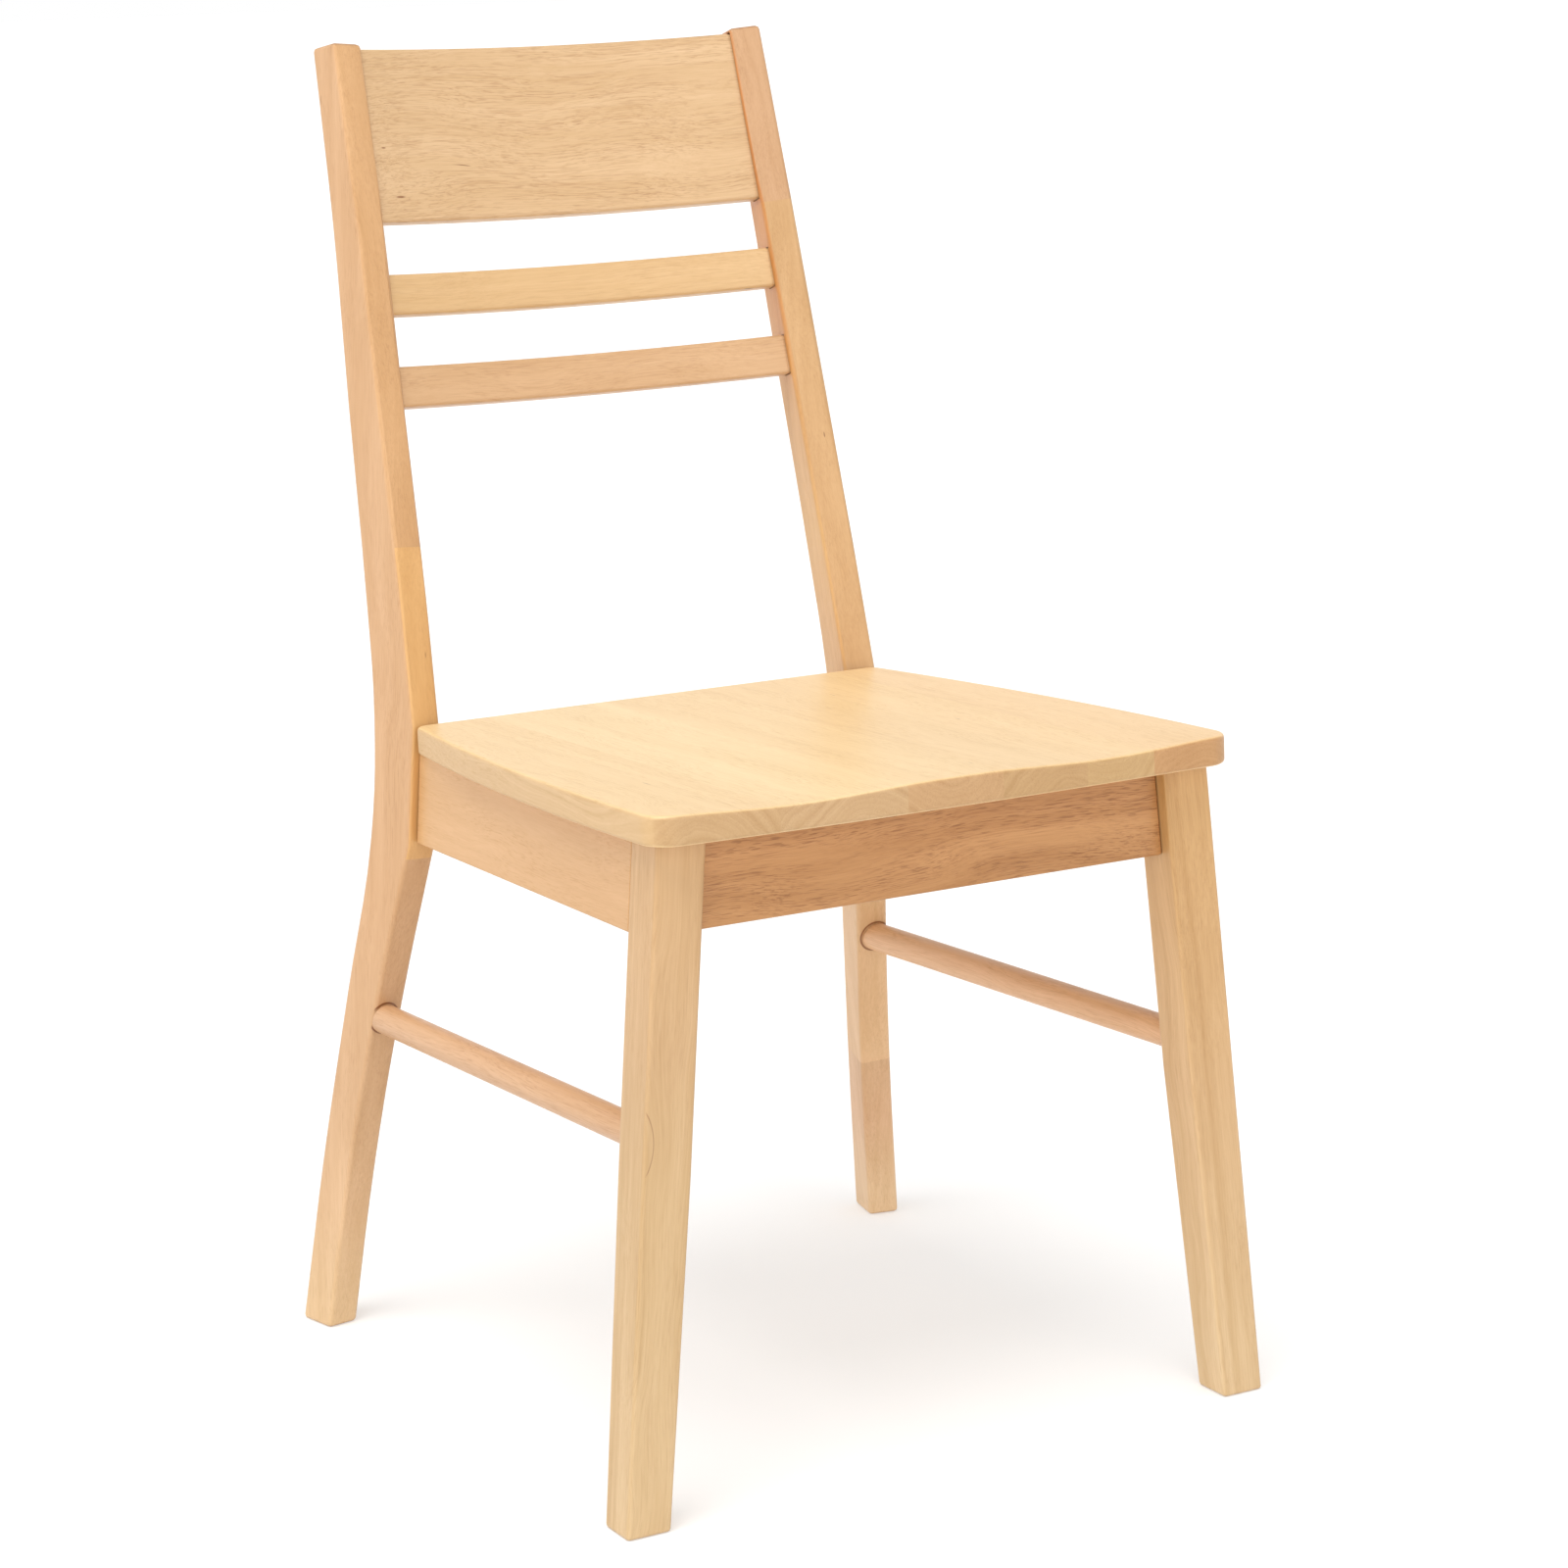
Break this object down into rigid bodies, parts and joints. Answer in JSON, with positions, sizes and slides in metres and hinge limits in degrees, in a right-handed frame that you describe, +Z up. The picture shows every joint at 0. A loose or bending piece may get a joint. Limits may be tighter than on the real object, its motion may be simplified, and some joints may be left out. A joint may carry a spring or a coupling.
{
  "type": "dining chair",
  "caption": "Wooden dining chair with a plank seat, splayed legs, round side stretchers, raked posts and curved back slats, for sitting at a table.",
  "frame": {"origin": "on the floor under the middle of the chair's bounding box", "axes": "-Y the front, +Z up, +X the sitter's left"},
  "size_m": [0.4752, 0.5464, 0.879],
  "materials": {
    "seat_wood": "satin lacquer",
    "leg_wood": "satin lacquer",
    "post_wood": "satin lacquer",
    "front_apron_wood": "satin lacquer",
    "apron_wood": "satin lacquer",
    "slat_wood": "satin lacquer",
    "stretcher_wood": "satin lacquer",
    "block_wood": "bare planed wood",
    "dowel_wood": "bare turned wood",
    "screw_steel": "zinc plated"
  },
  "bodies": {
    "root": {"seat_panel": "seat_wood", "front_leg_left": "leg_wood", "front_leg_right": "leg_wood", "back_post_left": "post_wood", "back_post_right": "post_wood", "front_apron": "front_apron_wood", "back_apron": "apron_wood", "side_apron_left": "apron_wood", "side_apron_right": "apron_wood", "crest_slat": "slat_wood", "middle_slat": "slat_wood", "lower_slat": "slat_wood", "side_stretcher_left": "stretcher_wood", "side_stretcher_right": "stretcher_wood", "corner_block_front_left": "block_wood", "corner_block_front_left_end_screw": "screw_steel", "corner_block_front_left_side_screw": "screw_steel", "corner_block_front_left_seat_screw": "screw_steel", "corner_block_front_right": "block_wood", "corner_block_front_right_end_screw": "screw_steel", "corner_block_front_right_side_screw": "screw_steel", "corner_block_front_right_seat_screw": "screw_steel", "corner_block_back_left": "block_wood", "corner_block_back_left_end_screw": "screw_steel", "corner_block_back_left_side_screw": "screw_steel", "corner_block_back_left_seat_screw": "screw_steel", "corner_block_back_right": "block_wood", "corner_block_back_right_end_screw": "screw_steel", "corner_block_back_right_side_screw": "screw_steel", "corner_block_back_right_seat_screw": "screw_steel", "dowel_front_apron_left_upper": "dowel_wood", "dowel_front_apron_left_lower": "dowel_wood", "dowel_front_apron_right_upper": "dowel_wood", "dowel_front_apron_right_lower": "dowel_wood", "dowel_back_apron_left_upper": "dowel_wood", "dowel_back_apron_left_lower": "dowel_wood", "dowel_back_apron_right_upper": "dowel_wood", "dowel_back_apron_right_lower": "dowel_wood", "dowel_side_apron_left_front_upper": "dowel_wood", "dowel_side_apron_left_front_lower": "dowel_wood", "dowel_side_apron_left_back_upper": "dowel_wood", "dowel_side_apron_left_back_lower": "dowel_wood", "dowel_side_apron_right_front_upper": "dowel_wood", "dowel_side_apron_right_front_lower": "dowel_wood", "dowel_side_apron_right_back_upper": "dowel_wood", "dowel_side_apron_right_back_lower": "dowel_wood"}
  },
  "joints": []
}
